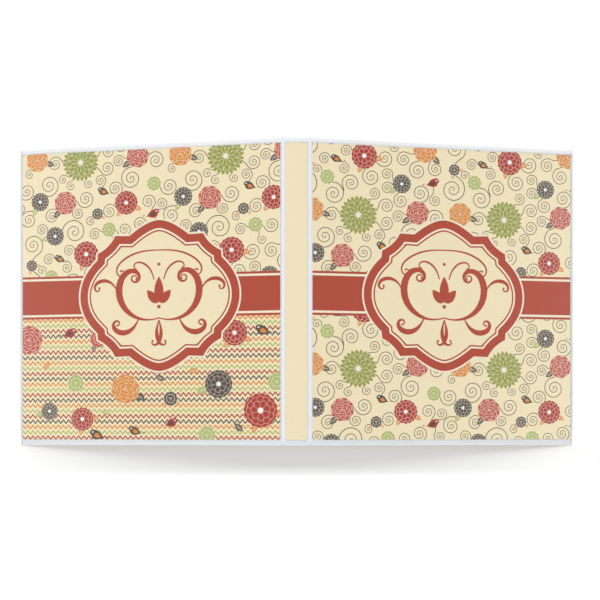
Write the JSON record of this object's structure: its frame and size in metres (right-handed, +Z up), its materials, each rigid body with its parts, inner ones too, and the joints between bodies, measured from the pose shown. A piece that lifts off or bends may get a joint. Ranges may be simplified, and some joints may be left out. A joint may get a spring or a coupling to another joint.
{
  "type": "clear-cover ring binder",
  "caption": "Ring binder used as a scrapbook album, standing open: white vinyl boards with clear outer sleeves over printed sheets, and a ring mechanism with levers on the spine.",
  "frame": {"origin": "middle of the spine's bottom edge, on the plane where its outer and inner vinyl meet", "axes": "+X towards the front cover's fore edge, +Y from the spine's outer face into the binder, +Z up the spine"},
  "size_m": [0.56, 0.0548, 0.298],
  "materials": {
    "white_vinyl": "matt white PVC sheet, fine leather-like emboss",
    "clear_film": "clear glossy film",
    "printed_paper": "coated paper, printed",
    "greyboard": "grey chipboard",
    "nickel_plate": "nickel-plated steel",
    "steel": "plain zinc-coated steel"
  },
  "bodies": {
    "spine": {"back_hinge_web": "white_vinyl", "front_hinge_web": "white_vinyl", "housing_posts": "steel", "lever_pins": "steel", "ring_housing": "nickel_plate", "ring_rivets": "steel", "spine_board": "greyboard", "spine_clear_sleeve": "clear_film", "spine_inner_skin": "white_vinyl", "spine_outer_skin": "white_vinyl"},
    "front_cover": {"front_board": "greyboard", "front_outer_skin": "white_vinyl", "front_inner_skin": "white_vinyl", "front_clear_sleeve": "clear_film", "front_inner_pocket": "white_vinyl"},
    "back_cover": {"back_board": "greyboard", "back_outer_skin": "white_vinyl", "back_inner_skin": "white_vinyl", "back_clear_sleeve": "clear_film", "back_inner_pocket": "white_vinyl"},
    "front_insert": {"front_insert": "printed_paper"},
    "back_insert": {"back_insert": "printed_paper"},
    "spine_insert": {"spine_insert": "printed_paper"},
    "left_ring_bar": {"left_blade": "steel", "left_half_ring_bottom": "nickel_plate", "left_half_ring_middle": "nickel_plate", "left_half_ring_top": "nickel_plate"},
    "right_ring_bar": {"right_blade": "steel", "right_half_ring_bottom": "nickel_plate", "right_half_ring_middle": "nickel_plate", "right_half_ring_top": "nickel_plate"},
    "top_lever": {"top_lever": "nickel_plate"},
    "bottom_lever": {"bottom_lever": "nickel_plate"}
  },
  "joints": [
    {"name": "front_hinge", "type": "hinge", "parent": "spine", "child": "front_cover", "pos_m": [0.01299, 0, 0.149], "axis": [0, 0, 1], "range_deg": [-101, 79], "deforming": ["front_hinge_web"]},
    {"name": "back_hinge", "type": "hinge", "parent": "spine", "child": "back_cover", "pos_m": [-0.01299, 0, 0.149], "axis": [0, 0, -1], "range_deg": [-101, 79], "deforming": ["back_hinge_web"]},
    {"name": "front_insert_slide", "type": "slide", "parent": "front_cover", "child": "front_insert", "axis": [0, 0, 1], "range_m": [0, 0.28]},
    {"name": "back_insert_slide", "type": "slide", "parent": "back_cover", "child": "back_insert", "axis": [0, 0, 1], "range_m": [0, 0.28]},
    {"name": "spine_insert_slide", "type": "slide", "parent": "spine", "child": "spine_insert", "axis": [0, 0, 1], "range_m": [0, 0.28]},
    {"name": "left_rings_open", "type": "hinge", "parent": "spine", "child": "left_ring_bar", "pos_m": [-0.0063, 0.0039, 0.149], "axis": [0, 0, 1], "range_deg": [0, 18]},
    {"name": "right_rings_open", "type": "hinge", "parent": "spine", "child": "right_ring_bar", "pos_m": [0.0063, 0.0039, 0.149], "axis": [0, 0, 1], "range_deg": [-18, 0]},
    {"name": "top_lever_tilt", "type": "hinge", "parent": "spine", "child": "top_lever", "pos_m": [0, 0.004, 0.278], "axis": [1, 0, 0], "range_deg": [0, 25]},
    {"name": "bottom_lever_tilt", "type": "hinge", "parent": "spine", "child": "bottom_lever", "pos_m": [0, 0.004, 0.02], "axis": [1, 0, 0], "range_deg": [-25, 0]}
  ],
  "couplings": [
    {"joint": "right_rings_open", "follows": "left_rings_open", "ratio": -1},
    {"joint": "top_lever_tilt", "follows": "left_rings_open", "ratio": 1.3888},
    {"joint": "bottom_lever_tilt", "follows": "left_rings_open", "ratio": -1.3888}
  ]
}
